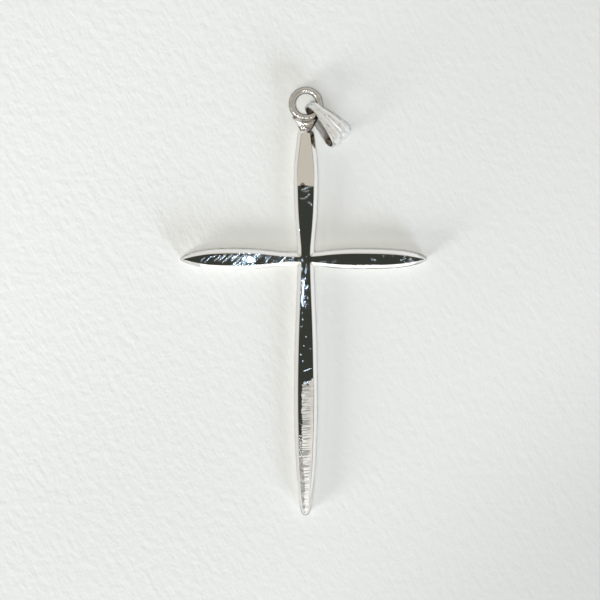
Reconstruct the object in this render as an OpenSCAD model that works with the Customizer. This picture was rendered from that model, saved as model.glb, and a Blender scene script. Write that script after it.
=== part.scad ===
// Slim cross pendant in polished metal, with a fixed top ring and a fluted strap bail.
// Millimetres. The crossing's centre is over the origin, the flat back lies on z = 0,
// +Y runs up the pendant to its ring and +Z comes out of the front face.

/* [Cross] */
// Length of the upper arm, from the crossing's centre to its square end
upper_arm_l = 15.1; // [11:0.1:20]
// Length of the lower arm, from the crossing's centre to its rounded tip
lower_arm_l = 30.4; // [20:0.1:40]
// Length of the left arm, from the crossing's centre to its tip
left_arm_l = 14.7; // [10:0.1:20]
// Length of the right arm, from the crossing's centre to its tip
right_arm_l = 14.2; // [10:0.1:20]
// Widest front face of the upper arm
upper_face_w = 1.94; // [1.5:0.02:2.6]
// Widest front face of the lower arm
lower_face_w = 1.86; // [1.5:0.02:2.6]
// Widest front face of the left arm
left_face_w = 1.47; // [1.1:0.02:2]
// Widest front face of the right arm
right_face_w = 1.41; // [1.1:0.02:2]
// Thickness from the flat back to the flat front face
cross_t = 2; // [1.8:0.1:2.8]
// Width of the sloping bevel beside the front face, seen from the front
bevel_w = 0.45; // [0.3:0.05:0.7]
// Depth of the sloping bevel below the front face
bevel_h = 0.34; // [0.2:0.02:0.6]
// Small bevel round the edge of the back
back_bevel = 0.15; // [0.05:0.05:0.25]
// Radius of the front face's inner corners at the crossing
face_corner_r = 0.35; // [0.15:0.05:0.6]
// Radius of the body's inner corners at the crossing
body_corner_r = 0.15; // [0.1:0.05:0.4]

/* [Top ring and neck] */
// Outer diameter of the fixed ring
ring_od = 4; // [3.8:0.02:5]
// Diameter of the ring's wire
ring_wire_d = 0.82; // [0.7:0.02:0.94]
// Gap between the upper arm's end and the outside of the ring
ring_gap = 1; // [0.8:0.02:1.6]
// Width of the neck where it leaves the upper arm
neck_foot_w = 1.3; // [0.9:0.1:1.8]
// Half of the arc of the ring that the neck's flared mouth cups, in degrees
cup_half_angle = 46; // [30:1:50]
// How far the rim of the mouth stands outside the ring
cup_lip = 0.18; // [0.05:0.01:0.25]
// Thickness of the neck
neck_t = 0.66; // [0.5:0.02:0.7]

/* [Bail] */
// Width of the bail's strap at its narrow end
bail_narrow_w = 1.05; // [0.7:0.05:1.2]
// Width of the bail's strap round its wide end
bail_wide_w = 2.9; // [2.4:0.05:4]
// Distance between the centres of the bail's narrow and wide bends
bail_reach = 3.45; // [2.9:0.05:5]
// Thickness of the strap at the bottom of its grooves
strap_t = 0.28; // [0.22:0.01:0.34]
// Inside radius of the bend at the wide end, where a chain passes
wide_bend_r = 0.85; // [0.8:0.05:1.4]
// Clearance between the ring's wire and the inside of the narrow bend
link_clearance = 0.1; // [0.08:0.01:0.16]
// Height of the strap's two lobes above the groove between them
lobe_h = 0.24; // [0.1:0.02:0.36]
// Share of the lobes' height by which the inside of the strap is hollowed under them
lobe_hollow = 0.45; // [0:0.05:0.8]
// How far the strap bows out between its two bends
strap_bow = 0.12; // [0:0.02:0.3]
// Place round the ring where the bail hangs, in degrees from the right
bail_ring_angle = -40; // [-50:1:-30]
// Direction in which the bail lies, in degrees from the right
bail_lie_angle = -46; // [-50:1:-38]
// Roll of the bail about its own length, which shows its open side
bail_roll = 24; // [10:1:26]

/* [Hidden] */
ring_fn = 96;
corner_steps = 5;
arm_steps = 22;
side_steps = 6;
wide_bend_steps = 16;
narrow_bend_steps = 10;
neck_steps = 8;

// Widths of the front face along each arm. The first column is the share of the face's
// length from the crossing, and the others are shares of the arm's widest face.
UPPER = 1;
LOWER = 2;
LEFT = 3;
RIGHT = 4;
//               along upper lower left  right
FACE_PROFILE = [[0.0, 0.53, 0.56, 0.40, 0.45],
                [0.1, 0.58, 0.65, 0.42, 0.58],
                [0.2, 0.72, 0.78, 0.53, 0.80],
                [0.3, 0.84, 0.89, 0.75, 0.94],
                [0.4, 0.93, 0.96, 0.92, 1.00],
                [0.5, 0.98, 1.00, 0.99, 1.00],
                [0.6, 1.00, 0.99, 1.00, 0.97],
                [0.7, 0.95, 0.92, 0.97, 0.90],
                [0.8, 0.83, 0.80, 0.86, 0.76],
                [0.9, 0.65, 0.61, 0.60, 0.52],
                [1.0, 0.50, 0.38, 0.26, 0.22]];

// How sharply each arm closes at its tip: a high power leaves the end square, a low one
// draws it to a point
TIP_POWER = [0, 120, 90, 14, 18];

// Share of its width that the bevel loses towards each arm's tip
BEVEL_TAPER = [0, 0, 0.5, 0.4, 0.4];

// Half of the strap's outer surface, from the groove at its middle to its edge. The
// columns are the share of the half width and the share of the lobe's height.
STRAP_FACE = [[0.00, 0.00],
              [0.07, 0.18],
              [0.18, 0.70],
              [0.32, 0.96],
              [0.45, 1.00],
              [0.60, 0.90],
              [0.72, 0.66],
              [0.78, 0.38],
              [0.84, 0.52],
              [0.93, 0.42],
              [1.00, 0.05]];

// The same for the inside of the strap
STRAP_BACK = [[0.00, 0.0],
              [0.20, 0.6],
              [0.45, 1.0],
              [0.75, 0.6],
              [1.00, 0.0]];

arm_l = [0, upper_arm_l, lower_arm_l, left_arm_l, right_arm_l];
face_w = [0, upper_face_w, lower_face_w, left_face_w, right_face_w];
// The bevel round a tip is steeper than the bevels along the sides
tip_bevel_share = 0.7;
tip_bevel = bevel_w * tip_bevel_share;
bevel_taper_power = 6;
bevel_level = cross_t - bevel_h;

ring_r = (ring_od - ring_wire_d) / 2;
ring_y = upper_arm_l + ring_gap + ring_od / 2;
// How far the neck runs into the upper arm
neck_overlap = 0.5;
// Bulge of the neck's flanks, where 1 is straight
flank_power = 0.85;

// The wire runs level and the strap is rolled, so the wire crosses the strap's width
// aslant and needs more room than its own radius
narrow_bend_r = ring_wire_d / 2 / cos(bail_roll)
              + bail_narrow_w / 2 * tan(bail_roll)
              + link_clearance;
// How far the wire sits from the narrow bend's centre, towards the wide end
wire_offset = 0.3;
bend_slope = asin((wide_bend_r - narrow_bend_r) / bail_reach);
// The strap widens until it is past the wide bend's centre by this share of its radius
shoulder_share = 0.6;
full_width_at = bail_reach + wide_bend_r * shoulder_share;
// Clearance between the bail's lowest edge and the plane of the cross's back
floor_gap = 0.03;
// The ring sits as high as the strap's narrow end needs to pass beneath its wire
ring_z = narrow_bend_r + strap_t + lobe_h * bail_narrow_w / bail_wide_w
       + bail_narrow_w / 2 * sin(bail_roll) + floor_gap;
// Angles of the far end that are tried, in degrees, to find the one at which it rests
steepest = 40;
pitch_step = 0.25;

function arc_points(centre, r, from, to, steps) =
    [for (i = [0:steps]) let (t = from + (to - from) * i / steps)
        centre + r * [cos(t), sin(t)]];

// Smooth curve through four evenly spaced values, at a share s between the middle two
function smooth_value(before, low, high, after, s) =
    0.5 * (2 * low + (high - before) * s
        + (2 * before - 5 * low + 4 * high - after) * s * s
        + (3 * low - before - 3 * high + after) * s * s * s);

// Face width as a share of the widest, at a share s of the way along an arm
function face_share(arm, s) =
    let (last = len(FACE_PROFILE) - 1,
         i = min(floor(s * last), last - 1))
    smooth_value(FACE_PROFILE[max(i - 1, 0)][arm], FACE_PROFILE[i][arm],
                 FACE_PROFILE[i + 1][arm], FACE_PROFILE[min(i + 2, last)][arm],
                 s * last - i);

// Bevel width as a share of its full width, at a share s of the way along an arm
function bevel_share(arm, s) = 1 - BEVEL_TAPER[arm] * pow(s, bevel_taper_power);

// Half width of an arm's outline that stands extra_w outside the front face
function half_width(arm, s, extra_w) =
    (face_w[arm] / 2 * face_share(arm, s) + bevel_share(arm, s) * extra_w)
    * sqrt(max(0, 1 - pow(s, TIP_POWER[arm])));

// One edge of an arm as [distance out, half width], from the crossing to the tip. The
// steps close up towards the tip, where the outline turns.
function arm_edge(arm, start, extra_w, extra_l) =
    let (l = arm_l[arm] - tip_bevel + extra_l)
    [for (i = [0:arm_steps])
        let (out = start + (l - start) * sin(90 * i / arm_steps))
        [out, half_width(arm, out / l, extra_w)]];

function reversed(list) = [for (i = [len(list) - 1:-1:0]) list[i]];
function without_last(list) = [for (i = [0:len(list) - 2]) list[i]];

// Where the edges of an arm begin, past the corner that they share with the next bar
function corner_start(other_arm, extra_w, r) =
    face_w[other_arm] / 2 * face_share(other_arm, 0) + extra_w + r;

// A rounded inner corner between the last point of one edge and the first of the next
function corner_points(from, to, centre) =
    [for (i = [1:corner_steps - 1]) let (t = 90 * i / corner_steps)
        centre + (from - centre) * cos(t) + (to - centre) * sin(t)];

// The whole outline of the cross, counter-clockwise from the right arm's lower edge
function cross_outline(extra_w, extra_l, r) =
    let (bar_start = corner_start(LOWER, extra_w, r),
         post_start = corner_start(LEFT, extra_w, r),
         right = arm_edge(RIGHT, bar_start, extra_w, extra_l),
         upper = arm_edge(UPPER, post_start, extra_w, extra_l),
         left = arm_edge(LEFT, bar_start, extra_w, extra_l),
         lower = arm_edge(LOWER, post_start, extra_w, extra_l),
         right_low = [for (p = without_last(right)) [p[0], -p[1]]],
         right_high = reversed(right),
         upper_right = [for (p = without_last(upper)) [p[1], p[0]]],
         upper_left = [for (p = reversed(upper)) [-p[1], p[0]]],
         left_high = [for (p = without_last(left)) [-p[0], p[1]]],
         left_low = [for (p = reversed(left)) [-p[0], -p[1]]],
         lower_left = [for (p = without_last(lower)) [-p[1], -p[0]]],
         lower_right = [for (p = reversed(lower)) [p[1], -p[0]]])
    concat(right_low, right_high,
           corner_points(right_high[len(right_high) - 1], upper_right[0],
                         [bar_start, post_start]),
           upper_right, upper_left,
           corner_points(upper_left[len(upper_left) - 1], left_high[0],
                         [-bar_start, post_start]),
           left_high, left_low,
           corner_points(left_low[len(left_low) - 1], lower_left[0],
                         [-bar_start, -post_start]),
           lower_left, lower_right,
           corner_points(lower_right[len(lower_right) - 1], right_low[0],
                         [bar_start, -post_start]));

// A closed solid through outlines with equally many points, from the lowest to the highest
module lofted(levels, outlines) {
    n = len(outlines[0]);
    top = len(outlines) - 1;
    points = [for (k = [0:top]) for (p = outlines[k]) [p[0], p[1], levels[k]]];
    sides = [for (k = [0:top - 1]) for (i = [0:n - 1]) let (j = (i + 1) % n)
        each [[k * n + i, (k + 1) * n + j, k * n + j],
              [k * n + i, (k + 1) * n + i, (k + 1) * n + j]]];
    floor_face = [for (i = [0:n - 1]) i];
    top_face = [for (i = [n - 1:-1:0]) top * n + i];
    polyhedron(points, concat([floor_face], sides, [top_face]));
}

module cross_body() {
    lofted([0, back_bevel, bevel_level, cross_t],
           [cross_outline(bevel_w - back_bevel, tip_bevel - back_bevel, body_corner_r),
            cross_outline(bevel_w, tip_bevel, body_corner_r),
            cross_outline(bevel_w, tip_bevel, body_corner_r),
            cross_outline(0, 0, face_corner_r)]);
}

// Flared neck between the upper arm and the ring, which ends in the middle of the wire
module neck() {
    rim = (ring_od / 2 + cup_lip) * [sin(cup_half_angle), -cos(cup_half_angle)] + [0, ring_y];
    foot = [neck_foot_w / 2, upper_arm_l];
    flank = [for (i = [0:neck_steps]) let (s = i / neck_steps)
        [foot[0] + (rim[0] - foot[0]) * pow(s, flank_power), foot[1] + (rim[1] - foot[1]) * s]];
    cup = arc_points([0, ring_y], ring_r, -90 + cup_half_angle, -90 - cup_half_angle,
                     neck_steps);
    side = concat([foot - [0, neck_overlap]], flank);
    translate([0, 0, ring_z - neck_t / 2])
        linear_extrude(height = neck_t)
            polygon(concat(side, cup, [for (p = reversed(side)) [-p[0], p[1]]]));
}

module top_ring() {
    translate([0, ring_y, ring_z])
        rotate_extrude($fn = ring_fn)
            translate([ring_r, 0])
                circle(d = ring_wire_d, $fn = ring_fn);
}

module cross() {
    color("gainsboro") {
        union() {
            cross_body();
            neck();
            top_ring();
        }
    }
}

// Stations round the bail's loop, seen from its open side: the angle of the outward
// normal, and the place of the strap's inside as [along, up]
function bend_stations(centre_along, r, from, to, steps) =
    [for (i = [0:steps]) let (t = from + (to - from) * i / steps)
        [t, centre_along + r * cos(t), r * sin(t)]];

function side_stations(from, to) =
    [for (i = [1:side_steps - 1]) let (s = i / side_steps, bow = strap_bow * sin(180 * s))
        from + (to - from) * s + [0, 0, bow * sign(from[2])]];

function loop_stations() =
    let (turn = 90 + bend_slope,
         wide = bend_stations(bail_reach, wide_bend_r, turn, -turn, wide_bend_steps),
         narrow = bend_stations(0, narrow_bend_r, 360 - turn, turn, narrow_bend_steps),
         narrow_first = narrow[0] - [360, 0, 0])
    concat(wide, side_stations(wide[wide_bend_steps], narrow_first),
           narrow, side_stations(narrow[narrow_bend_steps], wide[0]));

// Width of the strap at a place along the bail
function strap_width(along) =
    bail_narrow_w + (bail_wide_w - bail_narrow_w)
    * min(1, max(0, (along - wire_offset) / (full_width_at - wire_offset)));

// Points across the strap at one station, down its outside and back along its inside
function strap_section(station) =
    let (w = strap_width(station[1]),
         lobe = lobe_h * w / bail_wide_w,
         out = [cos(station[0]), 0, sin(station[0])],
         base = [station[1], 0, station[2]],
         outside = concat([for (p = reversed(STRAP_FACE)) [-p[0], strap_t + lobe * p[1]]],
                          [for (i = [1:len(STRAP_FACE) - 1])
                              [STRAP_FACE[i][0], strap_t + lobe * STRAP_FACE[i][1]]]),
         inside = concat([for (p = reversed(STRAP_BACK)) [p[0], lobe * lobe_hollow * p[1]]],
                         [for (i = [1:len(STRAP_BACK) - 1])
                             [-STRAP_BACK[i][0], lobe * lobe_hollow * STRAP_BACK[i][1]]]))
    [for (p = concat(outside, inside)) base + [0, p[0] * w / 2, 0] + out * p[1]];

// Lowest point of the strap above the back's plane when the bail's far end is raised by
// an angle
function lowest(rings, pitch) =
    min([for (section = rings) for (p = section)
        ring_z + (p[0] - wire_offset) * sin(pitch)
        + (p[2] * cos(bail_roll) - p[1] * sin(bail_roll)) * cos(pitch)]);

// The bail lies as flat as it can with its lowest edge on the surface
function resting_pitch(rings) =
    [for (pitch = [-steepest:pitch_step:steepest])
        if (lowest(rings, pitch) >= floor_gap) pitch][0];

module bail_loop(rings) {
    n = len(rings[0]);
    count = len(rings);
    points = [for (section = rings) each section];
    faces = [for (k = [0:count - 1]) for (i = [0:n - 1])
        let (j = (i + 1) % n, m = (k + 1) % count)
        each [[k * n + i, k * n + j, m * n + j],
              [k * n + i, m * n + j, m * n + i]]];
    polyhedron(points, faces);
}

module bail() {
    rings = [for (station = loop_stations()) strap_section(station)];
    link = [ring_r * cos(bail_ring_angle), ring_y + ring_r * sin(bail_ring_angle), ring_z];
    color("lightgray")
        translate(link)
            rotate([0, 0, bail_lie_angle])
                rotate([0, -resting_pitch(rings), 0])
                    rotate([-bail_roll, 0, 0])
                        translate([-wire_offset, 0, 0])
                            bail_loop(rings);
}

cross();
bail();
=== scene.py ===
"""Slim polished cross pendant with a fixed top ring and a fluted strap bail."""

from math import asin, cos, pi, radians, sin, sqrt

import bmesh
import bpy
from bpy.props import FloatProperty, FloatVectorProperty, PointerProperty
from mathutils import Matrix, Vector


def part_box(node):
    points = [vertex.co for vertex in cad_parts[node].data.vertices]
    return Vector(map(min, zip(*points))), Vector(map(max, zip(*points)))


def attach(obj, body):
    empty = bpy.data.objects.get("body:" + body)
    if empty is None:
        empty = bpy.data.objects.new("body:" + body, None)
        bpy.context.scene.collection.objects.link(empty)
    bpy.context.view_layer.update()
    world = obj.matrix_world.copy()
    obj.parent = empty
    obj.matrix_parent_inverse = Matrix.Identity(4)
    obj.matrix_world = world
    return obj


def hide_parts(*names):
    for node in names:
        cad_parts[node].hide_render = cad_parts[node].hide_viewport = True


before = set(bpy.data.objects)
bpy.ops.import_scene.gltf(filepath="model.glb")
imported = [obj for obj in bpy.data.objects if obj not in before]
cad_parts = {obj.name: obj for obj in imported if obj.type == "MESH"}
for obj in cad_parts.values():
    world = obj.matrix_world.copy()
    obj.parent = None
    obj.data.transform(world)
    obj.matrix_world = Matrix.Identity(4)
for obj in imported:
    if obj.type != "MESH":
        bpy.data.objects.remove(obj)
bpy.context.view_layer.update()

bl_info = {
    "name": "Cross Pendant",
    "version": (1, 0, 0),
    "blender": (4, 5, 0),
    "location": "3D View > Sidebar > Pendant",
    "description": "Adds a polished cross pendant with its ring, bail and photo table",
    "category": "Add Mesh",
}

MM = 0.001
# Places nearer to each other than this, in metres, are one place
TOUCH = 1e-7
CROSS_LOW, CROSS_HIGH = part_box("cross")

# Widths of the front face along each arm: the share of the face's length from the
# crossing, then shares of the arm's widest face for the upper, lower, left and right arm.
FACE_PROFILE = (
    (0.0, 0.53, 0.56, 0.40, 0.45),
    (0.1, 0.58, 0.65, 0.42, 0.58),
    (0.2, 0.72, 0.78, 0.53, 0.80),
    (0.3, 0.84, 0.89, 0.75, 0.94),
    (0.4, 0.93, 0.96, 0.92, 1.00),
    (0.5, 0.98, 1.00, 0.99, 1.00),
    (0.6, 1.00, 0.99, 1.00, 0.97),
    (0.7, 0.95, 0.92, 0.97, 0.90),
    (0.8, 0.83, 0.80, 0.86, 0.76),
    (0.9, 0.65, 0.61, 0.60, 0.52),
    (1.0, 0.50, 0.38, 0.26, 0.22),
)

# Column of FACE_PROFILE, direction, how sharply the tip closes, and the share of its
# width that the bevel loses towards the tip.
ARMS = {
    "upper": (1, Vector((0, 1)), 120, 0.0),
    "lower": (2, Vector((0, -1)), 90, 0.5),
    "left": (3, Vector((-1, 0)), 14, 0.4),
    "right": (4, Vector((1, 0)), 18, 0.4),
}

# Half of the strap's outer surface from its middle groove to its edge, as shares of the
# half width and of the lobes' height, and the same for the hollowed inside.
STRAP_FACE = (
    (0.00, 0.00), (0.07, 0.18), (0.18, 0.70), (0.32, 0.96), (0.45, 1.00), (0.60, 0.90),
    (0.72, 0.66), (0.78, 0.38), (0.84, 0.52), (0.93, 0.42), (1.00, 0.05),
)
STRAP_BACK = ((0.00, 0.0), (0.20, 0.6), (0.45, 1.0), (0.75, 0.6), (1.00, 0.0))


def length(name, description, millimetres):
    return FloatProperty(
        name=name, description=description, default=millimetres * MM, min=0.0,
        precision=5, subtype="DISTANCE", unit="LENGTH",
    )


def angle(name, description, degrees):
    return FloatProperty(
        name=name, description=description, default=radians(degrees), subtype="ANGLE",
        unit="ROTATION",
    )


def share(name, description, default):
    return FloatProperty(
        name=name, description=description, default=default, min=0.0, max=1.0,
        subtype="FACTOR",
    )


def colour(name, description, default):
    return FloatVectorProperty(
        name=name, description=description, default=default, size=3, min=0.0, max=1.0,
        subtype="COLOR",
    )


class CrossSizes(bpy.types.PropertyGroup):
    """Sizes of the four arms"""

    upper_length: length("Upper arm", "From the crossing to the arm's square end", 15.1)
    lower_length: length("Lower arm", "From the crossing to the tip", -CROSS_LOW.y / MM)
    left_length: length("Left arm", "From the crossing to the tip", -CROSS_LOW.x / MM)
    right_length: length("Right arm", "From the crossing to the tip", CROSS_HIGH.x / MM)
    upper_face: length("Upper face", "Widest front face of the upper arm", 1.94)
    lower_face: length("Lower face", "Widest front face of the lower arm", 1.86)
    left_face: length("Left face", "Widest front face of the left arm", 1.47)
    right_face: length("Right face", "Widest front face of the right arm", 1.41)
    thickness: length("Thickness", "From the back to the front face", CROSS_HIGH.z / MM)
    bevel: length("Bevel width", "Width of the sloping bevels, from the front", 0.45)
    bevel_depth: length("Bevel depth", "Depth of the sloping bevels", 0.34)
    tip_bevel: length("Tip bevel", "Width of the bevels round the tips", 0.315)
    back_bevel: length("Back bevel", "Small bevel round the back", 0.15)
    inner_corner: length("Inner corners", "Radius of the face's inner corners", 0.35)
    body_corner: length("Body corners", "Radius of the body's inner corners", 0.15)
    edge_radius: length("Edge rounding", "Rounding of the polished edges", 0.04)


class RingSizes(bpy.types.PropertyGroup):
    """Sizes of the top ring and its neck"""

    outer: length("Outer diameter", "Outer diameter of the fixed ring", 4.0)
    wire: length("Wire", "Diameter of the ring's wire", 0.82)
    height: length("Height", "Height of the wire's middle above the back", 1.393)
    foot: length("Neck foot", "Width of the neck where it leaves the arm", 1.3)
    foot_thickness: length("Foot thickness", "Thickness of the neck's foot", 0.66)
    mouth_thickness: length("Mouth thickness", "Thickness of the neck's mouth", 0.94)
    lip: length("Lip", "How far the mouth stands outside the ring", 0.18)
    cup: angle("Cup", "Half of the arc that the mouth cups", 46)


class BailSizes(bpy.types.PropertyGroup):
    """Sizes and pose of the strap bail"""

    narrow_width: length("Narrow end", "Width of the strap round the ring", 1.05)
    wide_width: length("Wide end", "Width of the strap where the chain goes", 2.9)
    reach: length("Reach", "Between the centres of the two bends", 3.45)
    strap: length("Strap", "Thickness at the bottom of the grooves", 0.28)
    narrow_bend: length("Narrow bend", "Inside radius round the ring", 0.7825)
    wide_bend: length("Wide bend", "Inside radius at the chain's end", 0.85)
    lobe: length("Lobes", "Height of the two lobes", 0.24)
    hollow: share("Hollow", "Share of the lobes that the inside follows", 0.45)
    bow: length("Bow", "How far the sides bow out", 0.12)
    wire_offset: length("Wire place", "From the narrow bend's centre to the wire", 0.3)
    ring_angle: angle("Place on ring", "Where the bail hangs, from the right", -40)
    lie_angle: angle("Lie", "Direction in which it lies, from the right", -46)
    pitch: angle("Pitch", "How far its far end is raised", 5.75)
    roll: angle("Roll", "Roll about its own length", 24)


class MetalLook(bpy.types.PropertyGroup):
    """Colours, wear, painted shade and painted glints of the metal"""

    silver: colour("Silver", "Colour of the polished arms", (0.90, 0.90, 0.89))
    worn: colour("Worn silver", "Colour of the rubbed lower arm", (0.98, 0.99, 0.98))
    rubbed_edge: colour("Rubbed edge", "Tone of the rubbed face along its right edge",
                        (0.54, 0.51, 0.47))
    # Painted glints: the bluish colour of the scratches and the warmer one on the upper arm stand
    # for the lamps that the scratches catch
    painted_glint: colour("Glint", "Colour of scratches on the mirror polish", (0.78, 0.88, 1.0))
    upper_painted_glint: colour("Upper glint", "Colour of the scratches on the upper arm",
                        (0.92, 0.88, 0.83))
    # Painted shade: the ring and neck are a darker silver than the arms
    ring_tone_and_shade: colour("Ring silver", "Colour of the ring and neck", (0.66, 0.65, 0.635))
    bail: colour("Bail silver", "Colour of the bail", (0.94, 0.965, 0.985))
    # Painted shade, and tarnished metal: this colour darkens the arms' edges, the ring's flanks
    # and joins, and the bail's grooves
    tarnish_and_shade: colour("Tarnish", "Colour of grime in edges and grooves", (0.16, 0.15, 0.14))
    # Painted shade: the brown inside the bail stands for the shadow in the loop
    inside: colour("Bail inside", "Brown tarnish inside the bail", (0.13, 0.105, 0.085))
    polish: share("Polish", "Roughness of the polished metal", 0.01)
    scratched: share("Scratches", "Roughness inside the scratches", 0.24)
    rubbed: share("Rubbed", "Roughness of the rubbed lower arm", 0.36)


class StageLook(bpy.types.PropertyGroup):
    """The table, the camera and the light"""

    view_width: length("Picture width", "Width of the picture at the pendant", 70.6)
    lens: FloatProperty(name="Lens", description="Focal length", default=130.0, unit="CAMERA")
    lean: angle("Lean", "How far the camera leans towards the ring", 5.0)
    floor: colour("Floor", "Colour of the table", (0.79, 0.805, 0.785))
    room: colour("Room", "Colour of the room overhead", (0.60, 0.555, 0.48))
    horizon: colour("Horizon", "Colour of the room low on the right", (0.88, 0.89, 0.89))
    horizon_left: colour("Left horizon", "Colour of the room low on the left", (0.78, 0.77, 0.74))
    card: colour("Dark card", "Colour of the dark card overhead", (0.042, 0.046, 0.038))
    overhead: colour("Overhead lamp", "Colour of the lamp overhead", (1.0, 0.975, 0.93))
    low_right: colour("Right lamp", "Colour of the low lamp on the right", (0.80, 0.88, 1.0))
    window: FloatVectorProperty(name="Front window", description="Glow of the window in front",
                                default=(1.5, 1.5, 1.48), size=3, min=0.0, subtype="COLOR")
    spark: colour("Spark", "Colour of the small lamps mirrored in the face", (0.55, 0.74, 1.0))
    glints: FloatProperty(name="Glint strength", default=150.0, min=0.0,
                          description="Brightness of the small lamps that light the scratches")


def arm_sizes(sizes, arm):
    return getattr(sizes, arm + "_length"), getattr(sizes, arm + "_face")


def smooth_value(before, low, high, after, s):
    """Smooth curve through four evenly spaced values, at a share s between the middle two."""
    return 0.5 * (
        2 * low + (high - before) * s
        + (2 * before - 5 * low + 4 * high - after) * s * s
        + (3 * low - before - 3 * high + after) * s * s * s
    )


def face_share(arm, s):
    """Width of an arm's face as a share of its widest, at a share s of the way out."""
    column, last = ARMS[arm][0], len(FACE_PROFILE) - 1
    i = min(int(s * last), last - 1)
    rows = [FACE_PROFILE[k][column] for k in (max(i - 1, 0), i, i + 1, min(i + 2, last))]
    return smooth_value(*rows, s * last - i)


def closing(arm, s):
    """How far the outline has closed at a share s of the way to the tip, from 1 to 0."""
    return sqrt(max(0.0, 1 - s ** ARMS[arm][2]))


def half_face(sizes, arm, s):
    return arm_sizes(sizes, arm)[1] / 2 * face_share(arm, s) * closing(arm, s)


def is_vertex(item):
    return isinstance(item, bmesh.types.BMVert)


def is_edge(item):
    return isinstance(item, bmesh.types.BMEdge)


def loop_edges(bm, loop):
    """The edges of a closed loop of vertices."""
    return [bm.edges.get((a, b)) for a, b in zip(loop, loop[1:] + loop[:1])]


def extrude_loop(bm, loop, places):
    """Extrudes a closed loop of vertices once and puts each new vertex at its place."""
    made = bmesh.ops.extrude_edge_only(bm, edges=loop_edges(bm, loop))["geom"]
    twins = {tuple(v.co): v for v in made if is_vertex(v)}
    new = [twins[tuple(v.co)] for v in loop]
    for vertex, place in zip(new, places):
        vertex.co = place
    return new


def settle_order(bm):
    """Lists faces and edges by their vertices. Extruding lists them anew in each run."""
    bm.verts.index_update()
    for parts in (bm.faces, bm.edges):
        ranked = sorted(parts, key=lambda part: sorted(v.index for v in part.verts))
        for rank, part in enumerate(ranked):
            part.index = rank
        parts.sort()


def finished(bm, name, material, replaced, body="root"):
    """Turns the faces outwards and makes the mesh a smooth piece on its CAD body."""
    settle_order(bm)
    bmesh.ops.recalc_face_normals(bm, faces=bm.faces)
    mesh = bpy.data.meshes.new(name)
    bm.to_mesh(mesh)
    bm.free()
    mesh.shade_smooth()
    mesh.materials.append(material)
    piece = bpy.data.objects.new(name, mesh)
    bpy.context.scene.collection.objects.link(piece)
    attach(piece, body)
    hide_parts(replaced)
    return piece


# --- The cross ---

# Stations along an arm, and points round each inner corner of the face
ARM_STEPS = 26
CORNER_STEPS = 6
# Share of an inner corner's radius that its rounding uses, just short of the arms' stations
CORNER_SHARE = 0.97
# How sharply the bevels narrow near the tips
TAPER_POWER = 6


def starts(sizes):
    """Where the edges of the level and the upright bar begin, past the inner corners."""
    bar = half_face(sizes, "lower", 0) + sizes.inner_corner
    post = half_face(sizes, "left", 0) + sizes.inner_corner
    return bar, post


def grow_arm(bm, edge, sizes, arm):
    """Extrudes one side of the crossing outwards, station by station, to the tip."""
    direction = ARMS[arm][1].to_3d()
    across = Vector((-direction.y, direction.x, 0))
    start = starts(sizes)[0 if direction.x else 1]
    reach = arm_sizes(sizes, arm)[0] - sizes.tip_bevel
    for i in range(ARM_STEPS + 1):
        out = start + (reach - start) * sin(pi / 2 * i / ARM_STEPS)
        half = half_face(sizes, arm, out / reach)
        made = bmesh.ops.extrude_edge_only(bm, edges=[edge])["geom"]
        pair = [v for v in made if is_vertex(v)]
        edge = next(e for e in made if is_edge(e) and set(e.verts) == set(pair))
        for v in pair:
            side = 1 if v.co.dot(across) > 0 else -1
            v.co = direction * out + across * (side * half) + Vector((0, 0, v.co.z))


def face_outline(bm, sizes):
    """Makes the front face as one flat polygon and returns its corners in order."""
    bar, post = starts(sizes)
    corner = sizes.inner_corner
    square = bmesh.ops.create_grid(bm, x_segments=1, y_segments=1, size=1.0)["verts"]
    bmesh.ops.scale(bm, vec=(bar - corner, post - corner, 1), verts=square)
    sides = {
        arm: next(
            e for e in bm.edges
            if all(v.co.xy.dot(ARMS[arm][1]) > 0 for v in e.verts)
        )
        for arm in ARMS
    }
    for arm, edge in sides.items():
        grow_arm(bm, edge, sizes, arm)
    bmesh.ops.remove_doubles(bm, verts=bm.verts, dist=TOUCH)
    bmesh.ops.dissolve_faces(bm, faces=bm.faces, use_verts=False)
    # The inner corners lie nearer to the middle than the first station of any arm
    inner = [v for v in bm.verts if abs(v.co.x) < bar * 0.9 and abs(v.co.y) < post * 0.9]
    bmesh.ops.bevel(
        bm, geom=inner, offset=corner * CORNER_SHARE, offset_type="OFFSET",
        segments=CORNER_STEPS, profile=0.5, affect="VERTICES", material=-1,
    )
    return [loop.vert for loop in list(bm.faces)[0].loops]


def body_point(sizes, p):
    """Where the body's widest outline lies beside a point of the front face's outline."""
    bar, post = starts(sizes)
    level = abs(p.x) > bar - TOUCH
    if level or abs(p.y) > post - TOUCH:
        arm = ("left", "right")[p.x > 0] if level else ("lower", "upper")[p.y > 0]
        direction, taper = ARMS[arm][1], ARMS[arm][3]
        across = Vector((-direction.y, direction.x))
        out, side, start = p.dot(direction), p.dot(across), bar if level else post
        reach = arm_sizes(sizes, arm)[0] - sizes.tip_bevel
        s = min(1.0, out / reach)
        further = sizes.bevel + (sizes.tip_bevel - sizes.bevel) * (out - start) / (reach - start)
        wider = sizes.bevel * (1 - taper * s**TAPER_POWER) * closing(arm, s)
        return direction * (out + further) + across * (side + (wider if side > 0 else -wider))
    outwards = Vector((1 if p.x > 0 else -1, 1 if p.y > 0 else -1))
    centre = Vector((bar, post)) * outwards
    moved = centre + outwards * (sizes.bevel - (sizes.inner_corner - sizes.body_corner))
    return moved + (p - centre) * (sizes.body_corner / sizes.inner_corner)


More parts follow.
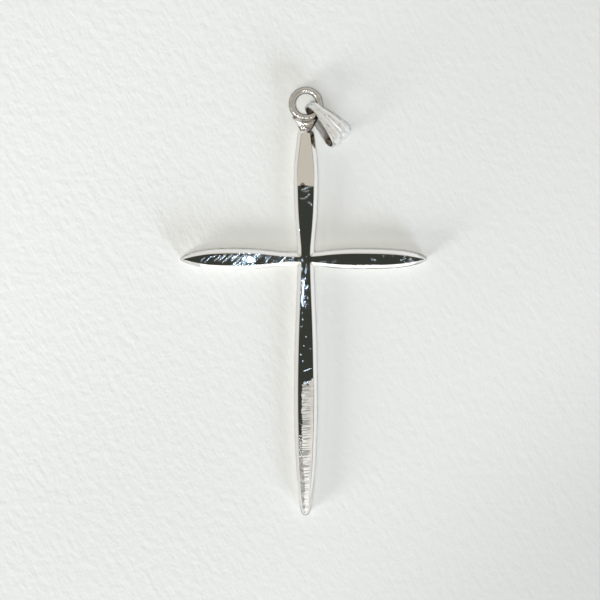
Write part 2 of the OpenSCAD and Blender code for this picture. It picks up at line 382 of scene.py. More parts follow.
def edge_levels(sizes):
    """The profile from the front face to the back, as shares out to the body's outline and
    heights, with each edge rounded through five points."""
    w, top = sizes.bevel, sizes.thickness
    line = [Vector(p) for p in (
        (-0.5 * w, top), (0, top), (w, top - sizes.bevel_depth),
        (w, sizes.back_bevel), (w - sizes.back_bevel, 0), (-0.5 * w, 0))]
    levels = []
    for before, corner, after in zip(line, line[1:], line[2:]):
        first = corner + (before - corner).normalized() * sizes.edge_radius
        last = corner + (after - corner).normalized() * sizes.edge_radius
        levels += [first, (first * 2 + corner * 5 + last) / 8,
                   (first + corner * 2 + last) / 4, (first + corner * 5 + last * 2) / 8, last]
    return [(p.x / w, p.y) for p in levels]


class PENDANT_OT_cross(bpy.types.Operator):
    """Adds the four bevelled arms"""

    bl_idname = "pendant.cross"
    bl_label = "Add Cross"
    bl_options = {"REGISTER", "UNDO"}

    def execute(self, context):
        sizes = context.scene.pendant_cross
        bm = bmesh.new()
        loop = face_outline(bm, sizes)
        inner = [v.co.xy for v in loop]
        outer = [body_point(sizes, p) for p in inner]
        rings = [
            [p.lerp(q, out).to_3d() + Vector((0, 0, z)) for p, q in zip(inner, outer)]
            for out, z in edge_levels(sizes)
        ]
        for v, place in zip(loop, rings[0]):
            v.co = place
        for ring in rings[1:]:
            loop = extrude_loop(bm, loop, ring)
        bmesh.ops.contextual_create(bm, geom=loop_edges(bm, loop))
        piece = finished(bm, "cross_arms", polished_arms(context.scene.pendant_metal),
                         replaced="cross")
        flat = piece.modifiers.new("Even shading", "WEIGHTED_NORMAL")
        flat.keep_sharp = False
        return {"FINISHED"}


# --- The ring and its neck ---

RING_STEPS, WIRE_STEPS = 96, 20
NECK_STEPS, NECK_SIDES = 10, 28
# How far the neck reaches into the arm, in millimetres
NECK_OVERLAP = 0.5
# How early the neck's sides flare out on their way to the mouth
FLARE_POWER = 0.85
# The rounded end of the mouth: depth in millimetres and share of the mouth's thickness
MOUTH_END = ((0.05, 0.99), (0.12, 0.94), (0.4, 0.7))


def ring_centre(context):
    rings = context.scene.pendant_ring
    return Vector((0, CROSS_HIGH.y - rings.outer / 2, rings.height))


def ring_mesh(sizes, centre):
    bm = bmesh.new()
    wire = bmesh.ops.create_circle(bm, segments=WIRE_STEPS, radius=sizes.wire / 2)["verts"]
    bmesh.ops.rotate(bm, cent=(0, 0, 0), matrix=Matrix.Rotation(pi / 2, 3, "X"), verts=wire)
    bmesh.ops.translate(bm, vec=((sizes.outer - sizes.wire) / 2, 0, 0), verts=wire)
    bmesh.ops.spin(bm, geom=bm.verts[:] + bm.edges[:], cent=(0, 0, 0), axis=(0, 0, 1),
                   angle=2 * pi, steps=RING_STEPS, use_merge=True)
    bmesh.ops.translate(bm, vec=centre, verts=bm.verts)
    return bm


def neck_places(sizes, centre, foot_y, unit):
    """The neck's loops from inside the arm to the cupped mouth, for the points of a circle."""
    rim = sizes.outer / 2 + sizes.lip
    foot, mouth = sizes.foot_thickness / 2, sizes.mouth_thickness / 2
    half_foot = sizes.foot / 2
    spread = rim * sin(sizes.cup) - half_foot

    def on_arc(r):
        return [Vector((r * sin(sizes.cup * u.x), centre.y - r * cos(sizes.cup * u.x), 0))
                for u in unit]

    places = [[Vector((u.x * half_foot, foot_y - NECK_OVERLAP * MM, centre.z + u.y * foot))
               for u in unit]]
    for i in range(NECK_STEPS + 1):
        s = i / NECK_STEPS
        flare, swell = s**FLARE_POWER, s * s * (3 - 2 * s)
        places.append([
            Vector((u.x * half_foot, foot_y, 0)).lerp(r, s)
            + Vector((u.x * spread * (flare - s), 0,
                      centre.z + u.y * (foot + (mouth - foot) * swell)))
            for u, r in zip(unit, on_arc(rim))])
    for depth, thin in MOUTH_END:
        places.append([p + Vector((0, 0, centre.z + u.y * mouth * thin))
                       for p, u in zip(on_arc(rim - depth * MM), unit)])
    return places


class PENDANT_OT_ring(bpy.types.Operator):
    """Adds the fixed ring and the flared neck that holds it"""

    bl_idname = "pendant.ring"
    bl_label = "Add Ring and Neck"
    bl_options = {"REGISTER", "UNDO"}

    def execute(self, context):
        sizes, centre = context.scene.pendant_ring, ring_centre(context)
        metal = ring_silver(context.scene.pendant_metal)
        finished(ring_mesh(sizes, centre), "top_ring", metal,
                 replaced="cross")

        bm = bmesh.new()
        first = loop = bmesh.ops.create_circle(bm, segments=NECK_SIDES, radius=1.0)["verts"]
        unit = [v.co.copy() for v in loop]
        places = neck_places(sizes, centre, context.scene.pendant_cross.upper_length, unit)
        for v, place in zip(loop, places[0]):
            v.co = place
        for ring in places[1:]:
            loop = extrude_loop(bm, loop, ring)
        for end in (first, loop):
            bmesh.ops.contextual_create(bm, geom=loop_edges(bm, end))
        finished(bm, "neck", metal, replaced="cross")
        return {"FINISHED"}


# --- The bail ---

WIDE_STEPS, NARROW_STEPS, SIDE_STEPS = 18, 12, 7
# Share of the wide bend's radius at which the strap has its full width
SHOULDER = 0.6


def bend(centre, radius, start, end, steps):
    """Stations round a bend: the outward angle and the place of the strap's inside."""
    turns = [start + (end - start) * i / steps for i in range(steps + 1)]
    return [(t, Vector((centre + radius * cos(t), radius * sin(t)))) for t in turns]


def straight(first, last, bow):
    """Stations between two bends, along a side that bows out a little."""
    found = []
    for i in range(1, SIDE_STEPS):
        s = i / SIDE_STEPS
        place = first[1].lerp(last[1], s)
        place.y += bow * sin(pi * s) * (1 if first[1].y > 0 else -1)
        found.append((first[0] + (last[0] - first[0]) * s, place))
    return found


def bail_stations(sizes):
    """Stations once round the folded strap, from the top of its wide bend."""
    slope = asin((sizes.wide_bend - sizes.narrow_bend) / sizes.reach)
    turn = pi / 2 + slope
    wide = bend(sizes.reach, sizes.wide_bend, turn, -turn, WIDE_STEPS)
    narrow = bend(0.0, sizes.narrow_bend, 2 * pi - turn, turn, NARROW_STEPS)
    first = (narrow[0][0] - 2 * pi, narrow[0][1])
    return (wide + straight(wide[-1], first, sizes.bow) + narrow
            + straight(narrow[-1], wide[0], sizes.bow))


def strap_places(sizes, station):
    """Points across the strap at one station, along its outside and back inside."""
    turn, inside = station
    full_at = sizes.reach + sizes.wide_bend * SHOULDER
    grown = (inside.x - sizes.wire_offset) / (full_at - sizes.wire_offset)
    width = sizes.narrow_width + (sizes.wide_width - sizes.narrow_width) * min(1, max(0, grown))
    lobe = sizes.lobe * width / sizes.wide_width
    outward, base = Vector((cos(turn), 0, sin(turn))), Vector((inside.x, 0, inside.y))
    outside = [(-a, sizes.strap + lobe * b) for a, b in reversed(STRAP_FACE)]
    outside += [(a, sizes.strap + lobe * b) for a, b in STRAP_FACE[1:]]
    back = [(a, lobe * sizes.hollow * b) for a, b in reversed(STRAP_BACK)]
    back += [(-a, lobe * sizes.hollow * b) for a, b in STRAP_BACK[1:]]
    return [base + Vector((0, a * width / 2, 0)) + outward * b for a, b in outside + back]


class PENDANT_OT_bail(bpy.types.Operator):
    """Adds the fluted strap bail, folded round the ring"""

    bl_idname = "pendant.bail"
    bl_label = "Add Bail"
    bl_options = {"REGISTER", "UNDO"}

    def execute(self, context):
        sizes, rings = context.scene.pendant_bail, context.scene.pendant_ring
        places = [strap_places(sizes, s) for s in bail_stations(sizes)]
        # How dark each point across the strap is: up to a half outside, and one inside, where it
        # is painted shade
        outside = [(1 - height) / 2 for across, height in STRAP_FACE]
        tarnish_and_shade = outside[:0:-1] + outside + [1.0] * (2 * len(STRAP_BACK) - 1)
        bm = bmesh.new()
        layer = bm.verts.layers.float.new("tarnish_and_shade")
        first = [bm.verts.new(p) for p in places[0]]
        for a, b in zip(first, first[1:] + first[:1]):
            bm.edges.new((a, b))
        loops = [first]
        for ring in places[1:]:
            loops.append(extrude_loop(bm, loops[-1], ring))
        for loop in loops:
            for vertex, amount in zip(loop, tarnish_and_shade):
                vertex[layer] = amount
        bmesh.ops.bridge_loops(bm, edges=loop_edges(bm, first) + loop_edges(bm, loops[-1]))
        link = ring_centre(context) + (rings.outer - rings.wire) / 2 * Vector(
            (cos(sizes.ring_angle), sin(sizes.ring_angle), 0))
        pose = (
            Matrix.Translation(link)
            @ Matrix.Rotation(sizes.lie_angle, 4, "Z")
            @ Matrix.Rotation(-sizes.pitch, 4, "Y")
            @ Matrix.Rotation(-sizes.roll, 4, "X")
            @ Matrix.Translation((-sizes.wire_offset, 0, 0))
        )
        bmesh.ops.transform(bm, matrix=pose, verts=bm.verts)
        piece = finished(bm, "bail_strap", worn_and_shaded_bail(context.scene.pendant_metal),
                         replaced="bail")
        soft = piece.modifiers.new("Soft edges", "SUBSURF")
        soft.levels = soft.render_levels = 2
        return {"FINISHED"}


# --- Finishes ---
# Every place and size in these finishes is in millimetres.


class Finish:
    """Builds one material's nodes."""

    def __init__(self, name):
        self.material = bpy.data.materials.new(name)
        self.material.use_nodes = True
        self.tree = self.material.node_tree
        self.tree.nodes.clear()
        self.surface = self.add("BsdfPrincipled")
        self.surface.inputs["Metallic"].default_value = 1.0
        output = self.add("OutputMaterial")
        self.tree.links.new(self.surface.outputs[0], output.inputs[0])
        in_mm = self.add("VectorMath", {"operation": "SCALE"}, Scale=1 / MM)
        self.feed(in_mm.inputs[0], self.add("TexCoord").outputs["Object"])
        self.place = in_mm.outputs[0]
        self.x, self.y, self.z = self.add("SeparateXYZ", Vector=self.place).outputs

    def add(self, kind, settings=None, **inputs):
        """One node. Inputs are links or values by socket name; settings are its options."""
        node = self.tree.nodes.new("ShaderNode" + kind)
        for name, value in (settings or {}).items():
            setattr(node, name, value)
        for name, value in inputs.items():
            self.feed(node.inputs[name.replace("_", " ")], value)
        return node

    def feed(self, socket, value):
        if isinstance(value, bpy.types.NodeSocket):
            self.tree.links.new(value, socket)
        else:
            socket.default_value = value

    def set(self, **inputs):
        for name, value in inputs.items():
            self.feed(self.surface.inputs[name.replace("_", " ")], value)

    def math(self, operation, *values):
        """Joins two or more values by one operation, from the left."""
        found = values[0]
        for value in values[1:] or (0.0,):
            node = self.add("Math", {"operation": operation})
            self.feed(node.inputs[0], found)
            self.feed(node.inputs[1], value)
            found = node.outputs[0]
        return found

    def times(self, *values):
        return self.math("MULTIPLY", *values)

    def plus(self, *values):
        return self.math("ADD", *values)

    def minus(self, *values):
        return self.math("SUBTRACT", *values)

    def most(self, *values):
        return self.math("MAXIMUM", *values)

    def off(self, value, middle):
        """How far a value is from a middle one, on either side."""
        return self.math("ABSOLUTE", self.minus(value, middle))

    def fade(self, value, start, end, low=0.0, high=1.0):
        """Goes smoothly from low at start to high at end, and stays there."""
        node = self.add("MapRange", {"interpolation_type": "SMOOTHSTEP"}, Value=value)
        for name, number in (("From Min", start), ("From Max", end),
                             ("To Min", low), ("To Max", high)):
            self.feed(node.inputs[name], number)
        return node.outputs["Result"]

    def between(self, value, low, high, soft):
        """One from low to high, with soft ends inside them."""
        return self.times(self.fade(value, low, low + soft), self.fade(value, high, high - soft))

    def mix(self, amount, first, second):
        node = self.add("Mix", {"data_type": "RGBA"})
        self.feed(node.inputs["Factor"], amount)
        for name, tint in (("A", first), ("B", second)):
            self.feed(node.inputs[name],
                      tint if isinstance(tint, bpy.types.NodeSocket) else (*tint, 1))
        return node.outputs["Result"]

    def noise(self, size, detail=2.0, roughness=0.5):
        return self.add("TexNoise", Vector=self.place, Scale=1 / size, Detail=detail,
                        Roughness=roughness).outputs["Fac"]

    def strokes(self, turn, long, wide, detail=2.0):
        """Noise drawn out into strokes of a length and width along a direction in degrees."""
        drawn = self.add("Mapping", {"vector_type": "TEXTURE"}, Vector=self.place,
                         Rotation=(0, 0, radians(turn)), Scale=(long, wide, long))
        return self.add("TexNoise", Vector=drawn.outputs[0], Scale=1.0,
                        Detail=detail).outputs["Fac"]

    def distance(self, x, y):
        node = self.add("VectorMath", {"operation": "DISTANCE"})
        flat = self.add("CombineXYZ", X=self.x, Y=self.y)
        self.feed(node.inputs[0], flat.outputs[0])
        node.inputs[1].default_value = (x, y, 0)
        return node.outputs["Value"]

    def arc(self, centre, radius, width, middle, span):
        """A scratch that follows a circle, kept to the part within span of its middle."""
        beside = self.off(self.distance(*centre), radius)
        return self.times(self.fade(beside, width, width * 0.3),
                          self.fade(self.distance(*middle), span, span * 0.6))

    def bump(self, height, depth, normal=None):
        node = self.add("Bump", Height=height, Distance=depth * MM, Strength=1.0)
        if normal:
            self.feed(node.inputs["Normal"], normal)
        return node.outputs["Normal"]


def toned(tint, amount):
    """A colour made darker or lighter by an amount."""
    return [amount * c for c in tint]


# Height at which the rounded edge of the bevels has become the front face, and of the edge
# between the bevels and the upright sides
FACE_FROM, FACE_FULL = 1.975, 1.995
BEVEL_FOOT = 1.655
# Midway between the side arms' tips
SIDES_MIDDLE = -0.25

# Scratches on the front face: the centre and radius of the circle that each follows, its
# width, and the middle and half length of the part that is cut
SCRATCHES = (
    ((1.54, 4.65), 4.0, 0.11, (0.10, 8.37), 0.85),
    ((-0.36, 7.90), 0.80, 0.11, (0.0, 7.19), 0.80),
    ((0.10, 3.00), 4.97, 0.10, (0.02, 7.97), 0.36),
    ((-1.50, 4.20), 3.10, 0.11, (0.55, 6.55), 0.38),
    ((-1.30, -8.40), 4.85, 0.11, (0.12, -12.80), 0.62),
    ((5.10, -3.20), 3.40, 0.10, (3.10, -0.30), 0.60),
    ((6.90, -2.60), 2.75, 0.13, (8.00, 0.02), 0.40),
    ((2.30, -2.20), 1.95, 0.10, (1.95, -0.28), 0.50),
    ((0.60, -18.40), 3.90, 0.16, (0.20, -14.52), 0.60),
)
# Single polishing strokes on the left arm: middle, width and half length
STROKES = (
    (-12.05, 0.00, 0.10, 0.40), (-11.67, -0.20, 0.09, 0.32), (-11.35, 0.06, 0.10, 0.50),
    (-10.66, 0.42, 0.11, 0.34), (-10.34, 0.12, 0.12, 0.62), (-9.78, 0.20, 0.15, 0.72),
    (-9.42, -0.05, 0.10, 0.60), (-9.02, 0.22, 0.15, 0.74), (-8.22, 0.24, 0.15, 0.78),
    (-7.84, -0.05, 0.12, 0.52),
)
# Their direction in degrees, and the radius of their slight curve
STROKE_TURN, STROKE_CURVE = 42, 8.0
# Small pits that catch the light: middle and radius
SPECKS = (
    (0.02, -9.1, 0.14), (-0.2, -10.2, 0.13), (0.5, -10.5, 0.11), (-0.55, -11.2, 0.14),
    (-0.3, -12.0, 0.13), (9.1, 0.42, 0.14), (10.2, 0.42, 0.12), (-0.42, -6.3, 0.13),
    (-0.36, -7.1, 0.15), (-0.42, -7.9, 0.13),
)
# A small dark dent in the upper arm's face: middle and radius
DENT = (-0.36, 8.70, 0.36)


def polishing_strokes(f):
    """Strokes on the left arm, upright ones below the crossing and some by the right tip."""
    left = f.times(f.between(f.x, -9.3, -0.2, 1.2), f.fade(f.off(f.y, 0.0), 1.4, 0.9))
    crowd = f.fade(f.off(f.x, -7.4), 3.4, 0.8, -0.01, 0.02)
    hairlines = f.off(f.strokes(STROKE_TURN, 3.2, 0.5, 1.0), 0.5)
    slanted = f.times(left, f.most(f.fade(f.minus(hairlines, crowd), 0.036, 0.02),
                                   f.fade(f.strokes(35, 0.5, 0.17), 0.60, 0.66)))
    turn = radians(STROKE_TURN)
    for x, y, width, half in STROKES:
        centre = (x + STROKE_CURVE * sin(turn), y - STROKE_CURVE * cos(turn))
        slanted = f.most(slanted, f.arc(centre, STROKE_CURVE, width, (x, y), half))
    below = f.times(f.fade(f.off(f.x, SIDES_MIDDLE), 0.7, 0.35), f.between(f.y, -6.1, 0.6, 0.5))
    upright = f.times(below, f.fade(f.strokes(84, 0.7, 0.25), 0.53, 0.59))
    near_tip = f.times(f.between(f.x, 10.9, 13.2, 0.4),
                       f.fade(f.strokes(20, 1.0, 0.24), 0.53, 0.6))
    return f.most(slanted, upright, near_tip)


def single_marks(f):
    """Faint hairlines, single scratches with small gaps, and pits."""
    marks = f.times(f.fade(f.off(f.noise(3.2, 1.0), 0.5), 0.010, 0.003),
                    f.fade(f.noise(1.6, 1.0), 0.58, 0.64), f.fade(f.y, 6.0, 5.0), 0.5)
    for scratch in SCRATCHES:
        marks = f.most(marks, f.arc(*scratch))
    marks = f.times(marks, f.fade(f.noise(0.35, 2.0), 0.15, 0.34))
    for x, y, radius in SPECKS:
        marks = f.most(marks, f.fade(f.distance(x, y), radius, radius * 0.4))
    return marks


def rubbed_face(f, look, ripple):
    """Where the lower arm's face is rubbed dull, its colour, and the relief of its hatching."""
    across = f.strokes(6, 1.5, 0.15, 2.0)
    uneven = f.minus(f.plus(ripple, across), 0.5)
    ragged = f.times(uneven, 0.45)
    # The whole width is rubbed near the tip, and all but a strip at the left edge above that
    edge = f.fade(f.y, -20.0, -28.5, -0.44, -0.12)
    beside = f.fade(f.minus(f.plus(f.x, ragged), edge), -0.08, 0.12)
    lower = f.fade(f.plus(f.y, f.times(uneven, 9.0)), -21.2, -22.4)
    below = f.fade(f.plus(f.y, f.times(ripple, 3.0), f.times(f.x, -0.5)), -14.2, -14.9)
    rubbed = f.times(below, f.most(beside, lower))

    # A plainer band follows the right edge, and darker gaps part the strokes elsewhere
    plain = f.fade(f.plus(f.x, f.times(ragged, 1.2)), 0.30, 0.62)
    busy = f.fade(plain, 1.0, 0.0, 0.2, 1.0)
    cuts = f.fade(f.plus(across, f.times(f.minus(f.noise(1.5), 0.5), 0.25)), 0.40, 0.56)
    gaps = f.times(f.fade(cuts, 1.0, 0.0), busy, f.fade(f.y, -28.0, -24.5, 0.3, 0.85))
    # Painted shade: a darker mottled strip along the rubbed face's left edge carries on the dark
    # reflection above it
    strip = f.times(f.fade(beside, 1.0, 0.0), f.fade(f.noise(0.4, 3.0), 0.35, 0.6, 0.55, 0.95))
    tint = f.mix(f.fade(f.y, -27, -15), look.worn, toned(look.worn, 0.66))
    tint = f.mix(f.times(plain, 0.8), tint, look.rubbed_edge)
    tint = f.mix(f.most(gaps, strip), tint, toned(look.worn, 0.27))
    return rubbed, tint, f.times(f.minus(across, 0.5), busy)


def painted_edge_shade(f, face):
    """Painted shade in the thin edge below the bevels and beside the worn face, and a darker
    dent.
    """
    # Painted shade: dark lines along the edge below the bevels, strongest beside the post under
    # the right arm and near the tips
    rim = f.fade(f.off(f.z, BEVEL_FOOT), 0.13, 0.05)
    strong = f.most(f.times(f.fade(f.x, 1.4, 2.4), f.fade(f.y, 0.0, -0.5), f.fade(f.y, -3, -2.5)),
                    f.fade(f.off(f.x, SIDES_MIDDLE), 12.9, 14.2), f.fade(f.y, -28.6, -30.2))
    grime = f.times(rim, f.fade(strong, 0, 1, 0.16, 0.95),
                    f.fade(f.noise(0.9), 0.3, 0.6, 0.6, 1.0))
    # Painted shade: a dark line where the face meets the bevels, beside the worn face and on the
    # upper arm
    beside_face = f.most(f.times(f.fade(f.x, 0.1, 0.3), f.between(f.y, -26.5, -14.4, 1.0)),
                         f.fade(f.y, 8.6, 10.4))
    face_edge = f.times(f.between(f.z, 1.945, 2.01, 0.02), beside_face, f.fade(face, 1.0, 0.2))
    x, y, radius = DENT
    dent = f.times(face, f.fade(f.distance(x, y), radius, 0.16))
    return f.most(grime, f.times(face_edge, 0.6), f.times(dent, 0.85))


def polished_arms(look):
    """Mirror polish with hand-polishing strokes, painted glints and a worn lower arm."""
    f = Finish("polished_silver")
    face = f.fade(f.z, FACE_FROM, FACE_FULL)
    marks = single_marks(f)
    dull = f.times(face, f.most(polishing_strokes(f), marks))
    rubbed, worn, hatching = rubbed_face(f, look, f.minus(f.noise(1.1, 5.0, 0.7), 0.5))
    rubbed = f.times(face, rubbed)

    # Polished metal changes to scratched or rubbed metal at once, with no half-gloss between
    is_dull = f.math("GREATER_THAN", dull, 0.42)
    is_rubbed = f.math("GREATER_THAN", rubbed, 0.4)
    rough = f.most(f.fade(is_dull, 0.0, 1.0, look.polish, look.scratched),
                   f.fade(is_rubbed, 0.0, 1.0, look.polish, look.rubbed))

    # Painted glints: the scratches' colour is tinted and made lighter or darker for the lamps
    # that they catch. Strokes are fainter towards the left tip, and single scratches fainter than
    # strokes
    bright = f.times(f.fade(f.strokes(STROKE_TURN, 0.9, 0.25, 2.0), 0.38, 0.62),
                     f.fade(f.x, -12.6, -9.4, 0.25, 1.0), f.fade(marks, 0.0, 0.4, 1.0, 0.15))
    painted_glint = f.mix(f.fade(f.y, 5.0, 6.0), look.painted_glint, look.upper_painted_glint)
    painted_glint = f.mix(f.fade(bright, 0.0, 1.0, 0.45, 1.0), (0, 0, 0), painted_glint)
    tint = f.mix(is_rubbed, f.mix(is_dull, look.silver, painted_glint), worn)
    f.set(Base_Color=f.mix(painted_edge_shade(f, face), tint, look.tarnish_and_shade), Roughness=rough)

    relief = f.times(f.fade(rubbed, 0.5, 1.0), hatching)
    f.set(Normal=f.bump(relief, 0.07, f.bump(f.noise(2.4, 1.0), 0.002)))
    return f.material


def ring_silver(look):
    """Silver of the ring and its soldered neck, darker than the arms, with painted shade."""
    f = Finish("ring_silver")
    # Painted shade: darker round the flanks at mid height, at the neck's foot and where the ring
    # is joined; the neck is also mottled darker
    ripple = f.times(f.minus(f.noise(0.5, 3.0), 0.5), 0.12)
    flank_shade = f.fade(f.plus(f.off(f.z, 1.393), ripple), 0.34, 0.23)
    foot = f.times(f.between(f.y, 15.12, 15.5, 0.12), f.fade(f.noise(0.3, 3.0), 0.38, 0.5))
    joint_shade = f.arc((0.0, 18.1), 2.06, 0.16, (-0.4, 16.1), 1.5)
    flaws = f.times(f.between(f.y, 14.9, 16.6, 0.25), f.fade(f.noise(0.42, 3.0), 0.49, 0.60))
    dark = f.most(f.times(flank_shade, 0.7), f.times(foot, 0.6), f.times(joint_shade, 0.6),
                  f.times(flaws, 0.4))
    # A paler patch at the left of the neck's mouth: partly a bright soldered blob, and partly a
    # painted highlight
    solder_drop_and_highlight = f.fade(f.plus(f.distance(-1.05, 15.95), f.times(f.noise(0.3), 0.4)), 0.85, 0.6)
    dark = f.times(dark, f.fade(solder_drop_and_highlight, 1.0, 0.0, 0.1, 1.0))
    tone = f.mix(f.fade(f.noise(0.7, 3.0), 0.35, 0.7), look.ring_tone_and_shade, toned(look.ring_tone_and_shade, 0.86))
    tone = f.mix(solder_drop_and_highlight, tone, look.silver)
    scuffs = f.fade(f.strokes(30, 0.6, 0.06), 0.5, 0.66)
    f.set(Base_Color=f.mix(dark, tone, look.tarnish_and_shade),
          Roughness=f.fade(f.most(scuffs, f.times(solder_drop_and_highlight, 2.0)), 0, 1, 0.08, 0.2))
    f.set(Normal=f.bump(scuffs, 0.0015, f.bump(f.noise(0.5), 0.008)))
    return f.material


def worn_and_shaded_bail(look):
    """Pale cast silver, darker in its grooves, with painted brown shade inside the loop."""
    f = Finish("bail_silver")
    tarnish_and_shade = f.add("Attribute", {"attribute_name": "tarnish_and_shade"}).outputs["Fac"]
    lines = f.times(f.fade(f.strokes(-46, 1.6, 0.18, 3.0), 0.55, 0.60),
                    f.fade(f.noise(0.6), 0.4, 0.6))
    grain = f.noise(0.3, 4.0, 0.6)
    groove = f.times(f.fade(tarnish_and_shade, 0.08, 0.5), f.fade(grain, 0.3, 0.6, 0.35, 0.8))
    outer = f.mix(f.most(f.times(groove, 0.22), f.times(lines, 0.5)), look.bail, look.tarnish_and_shade)
    # The inside is painted shade: brown with lighter patches, and a painted lighter patch where
    # it faces the upper arm
    inner = f.mix(f.fade(f.noise(0.75, 3.0), 0.44, 0.62), look.inside, toned(look.inside, 3.6))
    inner = f.mix(f.fade(f.distance(1.1, 15.2), 1.9, 1.0, 0.0, 0.8), inner, look.bail)
    f.set(Base_Color=f.mix(f.fade(tarnish_and_shade, 0.62, 0.9), outer, inner),
          Roughness=f.fade(grain, 0.3, 0.7, 0.36, 0.48))
    f.set(Normal=f.bump(lines, 0.003, f.bump(grain, 0.003)))
    return f.material


def pale_table(look):
    """Pale table top with a faint leather-like grain, darker towards its lower right."""
    f = Finish("pale_table")
    corner = f.times(f.minus(f.x, f.y), sqrt(0.5))
    # Painted light falloff: the table is darker towards its lower right and its bottom
    shade = f.plus(f.fade(corner, -40, 8, 0, 0.17), f.fade(corner, 24, 54, 0, 0.24),
                   f.fade(f.y, -5, -35, 0, 0.08))
    grain = f.times(f.plus(f.strokes(-62, 2.1, 0.8, 3.0), f.noise(0.9, 3.0)),
                    f.fade(f.x, -30, 20, 1.0, 0.55))
    f.set(Metallic=0.0, Roughness=0.7, Normal=f.bump(grain, 0.08),
          Base_Color=f.mix(shade, look.floor, toned(look.floor, 0.5)))
    return f.material


# --- The stage ---

WHITE = (1, 1, 1)
# Width of the camera's sensor, as lenses are named
SENSOR = 36
# Middle of the picture, in millimetres
PICTURE_MIDDLE = (-0.67, -4.86, 1.0)
# Height of the dark card, and how far below it the small lamps are, in metres
CARD_HEIGHT, LAMP_DROP = 0.42, 0.004
# Two corners of the part of the face's plane that mirrors the dark card, in millimetres
CARD_CORNERS = ((-24, -23.2), (24, 8.6))
# Place on the face, in millimetres, at which the camera would see the low front lamp
LOW_FRONT = (0.1, -29.4)
# Small lamps above the face: name, the place at which the camera sees it mirrored in the
# face's plane and the size that it has there, in millimetres, and whether the face itself
# mirrors it or only lets its scratches catch it
SPARKS = (
    ("spark", (-6.70, -0.06), (1.75, 0.72), True),
    ("streak", (-0.42, -3.95), (0.13, 3.2), True),
    ("spark_glints", (-6.9, 2.7), (2.4, 1.4), False),
    ("streak_glints", (-2.5, -4.3), (1.0, 3.0), False),
)
# Brightness of the small lamps that the face itself mirrors
SPARK_STRENGTH = 5


def add_object(name, data):
    made = bpy.data.objects.new(name, data)
    bpy.context.scene.collection.objects.link(made)
    return made


def from_sky(turn, height, distance):
    """A place at a turn from the right and a height above the table, both in degrees."""
    turn, height = radians(turn), radians(height)
    return distance * Vector((cos(turn) * cos(height), sin(turn) * cos(height), sin(height)))


def lamp(name, place, target, size, strength, tint=WHITE, glossy=True):
    """An area lamp of the given size, as bright as a card of that strength."""
    data = bpy.data.lights.new(name, "AREA")
    data.shape = "RECTANGLE"
    data.size, data.size_y = size
    data.energy = strength * pi * size[0] * size[1]
    data.color = tint
    made = add_object(name, data)
    made.location = place
    made.rotation_euler = (Vector(target) - Vector(place)).to_track_quat("-Z", "Y").to_euler()
    made.visible_camera = False
    made.visible_glossy = glossy
    return made


def glow(name, tint):
    material = bpy.data.materials.new(name)
    material.use_nodes = True
    nodes = material.node_tree.nodes
    nodes.clear()
    light = nodes.new("ShaderNodeEmission")
    light.inputs["Color"].default_value = (*tint, 1)
    material.node_tree.links.new(
        light.outputs[0], nodes.new("ShaderNodeOutputMaterial").inputs[0])
    return material


def plane(name, size, material, place=(0, 0, 0), facing=None):
    """A level plane at a place, or one that is turned to face a point."""
    bm = bmesh.new()
    bmesh.ops.create_grid(bm, x_segments=1, y_segments=1, size=0.5)
    bmesh.ops.scale(bm, vec=(size[0], size[1], 1), verts=bm.verts)
    if facing:
        turn = (Vector(facing) - Vector(place)).to_track_quat("Z", "Y").to_matrix()
        bmesh.ops.rotate(bm, cent=(0, 0, 0), matrix=turn, verts=bm.verts)
    bmesh.ops.translate(bm, vec=place, verts=bm.verts)
    mesh = bpy.data.meshes.new(name)
    bm.to_mesh(mesh)
    bm.free()
    mesh.materials.append(material)
    made = add_object(name, mesh)
    return made


def only_mirrored(card):
    """Leaves a card out of everything but reflections."""
    card.visible_camera = card.visible_diffuse = card.visible_shadow = False


def seen_in_face(camera, place, height, face):
    """The point at a height that the camera sees mirrored at a place on the front face."""
    spot = Vector((place[0] * MM, place[1] * MM, face))
    ray = spot - camera.location
    ray.z = -ray.z
    return spot + ray * ((height - face) / ray.z)


def room_light(scene, look):
    """The room that the metal mirrors. It doesn't light the table, which the lamps do."""
    world = bpy.data.worlds.new("room")
    scene.world = world
    world.cycles_visibility.diffuse = False
    world.use_nodes = True
    nodes, links = world.node_tree.nodes, world.node_tree.links
    nodes.clear()
    split = nodes.new("ShaderNodeSeparateXYZ")
    links.new(nodes.new("ShaderNodeTexCoord").outputs["Generated"], split.inputs[0])

    def ramp(value, stops):
        node = nodes.new("ShaderNodeValToRGB")
        while len(node.color_ramp.elements) < len(stops):
            node.color_ramp.elements.new(0.5)
        for element, (position, tint) in zip(node.color_ramp.elements, stops):
            element.position, element.color = position, (*tint, 1)
        links.new(value, node.inputs[0])
        return node.outputs[0]

    # From left to right the horizon changes its colour, and above it the ceiling takes over
    sideways = nodes.new("ShaderNodeMath")
    sideways.operation = "MULTIPLY_ADD"
    links.new(split.outputs["X"], sideways.inputs[0])
    sideways.inputs[1].default_value = sideways.inputs[2].default_value = 0.5
    around = ramp(sideways.outputs[0], ((0.3, look.horizon_left), (0.7, look.horizon)))
    rising = ramp(split.outputs["Z"], ((0.3, (0, 0, 0)), (0.52, WHITE)))
    mix = nodes.new("ShaderNodeMix")
    mix.data_type = "RGBA"
    links.new(rising, mix.inputs["Factor"])
    links.new(around, mix.inputs["A"])
    mix.inputs["B"].default_value = (*look.room, 1)
    light = nodes.new("ShaderNodeBackground")
    links.new(mix.outputs["Result"], light.inputs[0])
    links.new(light.outputs[0], nodes.new("ShaderNodeOutputWorld").inputs[0])


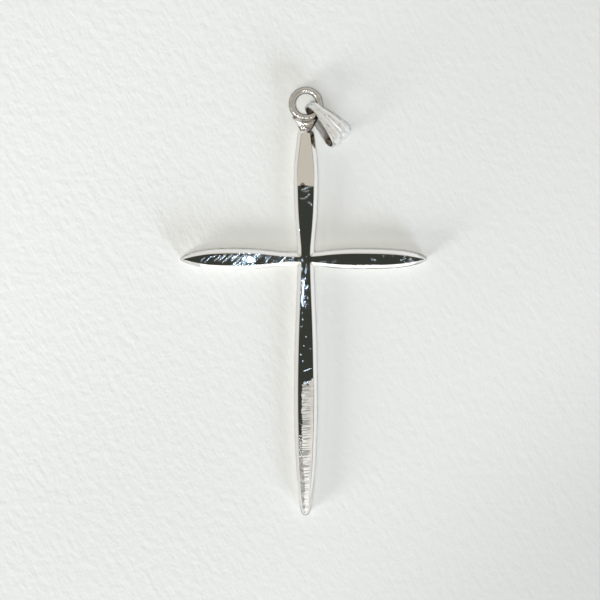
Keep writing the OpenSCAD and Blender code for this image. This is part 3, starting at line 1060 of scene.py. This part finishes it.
class PENDANT_OT_stage(bpy.types.Operator):
    """Adds the table, the camera, the lights and the cards that the metal mirrors"""

    bl_idname = "pendant.stage"
    bl_label = "Add Photo Table"
    bl_options = {"REGISTER", "UNDO"}

    def execute(self, context):
        look, scene = context.scene.pendant_stage, context.scene
        face = scene.pendant_cross.thickness
        scene.view_settings.view_transform = "Standard"
        plane("table", (2.4, 2.4), pale_table(look), (0, 0, -0.02 * MM))

        data = bpy.data.cameras.new("photo_camera")
        data.lens, data.sensor_width = look.lens, SENSOR
        data.clip_start, data.clip_end = 0.01, 10
        camera = add_object("photo_camera", data)
        away = look.view_width / 2 / (SENSOR / 2 / look.lens)
        camera.location = Vector(PICTURE_MIDDLE) * MM + away * Vector(
            (0, sin(look.lean), cos(look.lean)))
        camera.rotation_euler = (-look.lean, 0, 0)
        scene.camera = camera
        context.view_layer.update()

        # The dark card that the flat face mirrors, up to the change on the upper arm
        low, high = (seen_in_face(camera, spot, CARD_HEIGHT, face) for spot in CARD_CORNERS)
        only_mirrored(plane("dark_card", high - low, glow("dark_card", look.card),
                            (low + high) / 2))
        target = Vector((0, -5 * MM, 0))
        only_mirrored(plane("front_window", (0.33, 0.17), glow("front_window", look.window),
                            from_sky(-84, 12.5, 0.46), target))

        for name, place, side, strength, tint, glossy in (
            ("overhead", Vector((-0.02, 0.0, 0.6)), 0.08, 107, look.overhead, False),
            ("low_right", from_sky(-56, 18, 0.5), 0.17, 17.5, look.low_right, False),
            ("low_left", from_sky(-143, 17, 0.5), 0.17, 17.5, WHITE, False),
            ("key", Vector((-0.10, -0.16, 0.40)), 0.06, 12, WHITE, True),
            ("left_window", from_sky(-143, 45, 0.5), 0.08, 8, WHITE, True),
        ):
            lamp(name, place, target, (side, side), strength, tint, glossy)
        front = seen_in_face(camera, LOW_FRONT, CARD_HEIGHT, face)
        lamp("low_front", front, (front.x, front.y, 0), (0.05, 0.03), 15)

        spread = 1 + (CARD_HEIGHT - face) / (camera.location.z - face)
        for name, place, (wide, high), mirrored in SPARKS:
            spot = seen_in_face(camera, place, CARD_HEIGHT - LAMP_DROP, face)
            made = lamp(name, spot, (spot.x, spot.y, 0),
                        (wide * MM * spread, high * MM * spread),
                        SPARK_STRENGTH if mirrored else look.glints, look.spark)
            made.data.shape = "ELLIPSE"
            made.data.cycles.max_bounces = 1

        room_light(scene, look)
        return {"FINISHED"}


class PENDANT_PT_panel(bpy.types.Panel):
    """Lists the pendant's pieces, sizes and finishes"""

    bl_idname = "PENDANT_PT_panel"
    bl_label = "Cross Pendant"
    bl_space_type = "VIEW_3D"
    bl_region_type = "UI"
    bl_category = "Pendant"

    def draw(self, context):
        for title, group, operator in (
            ("Cross", "pendant_cross", "pendant.cross"),
            ("Ring", "pendant_ring", "pendant.ring"),
            ("Bail", "pendant_bail", "pendant.bail"),
            ("Metal", "pendant_metal", None),
            ("Photo table", "pendant_stage", "pendant.stage"),
        ):
            box = self.layout.box()
            box.label(text=title)
            settings = getattr(context.scene, group)
            for name in settings.__annotations__:
                box.prop(settings, name)
            if operator:
                box.operator(operator)


GROUPS = {
    "pendant_cross": CrossSizes,
    "pendant_ring": RingSizes,
    "pendant_bail": BailSizes,
    "pendant_metal": MetalLook,
    "pendant_stage": StageLook,
}
CLASSES = (*GROUPS.values(), PENDANT_OT_cross, PENDANT_OT_ring, PENDANT_OT_bail,
           PENDANT_OT_stage, PENDANT_PT_panel)


def register():
    for cls in CLASSES:
        bpy.utils.register_class(cls)
    for name, group in GROUPS.items():
        setattr(bpy.types.Scene, name, PointerProperty(type=group))


def unregister():
    for name in GROUPS:
        delattr(bpy.types.Scene, name)
    for cls in reversed(CLASSES):
        bpy.utils.unregister_class(cls)


def main():
    register()
    bpy.ops.pendant.cross()
    bpy.ops.pendant.ring()
    bpy.ops.pendant.bail()
    bpy.ops.pendant.stage()


if __name__ == "__main__":
    main()
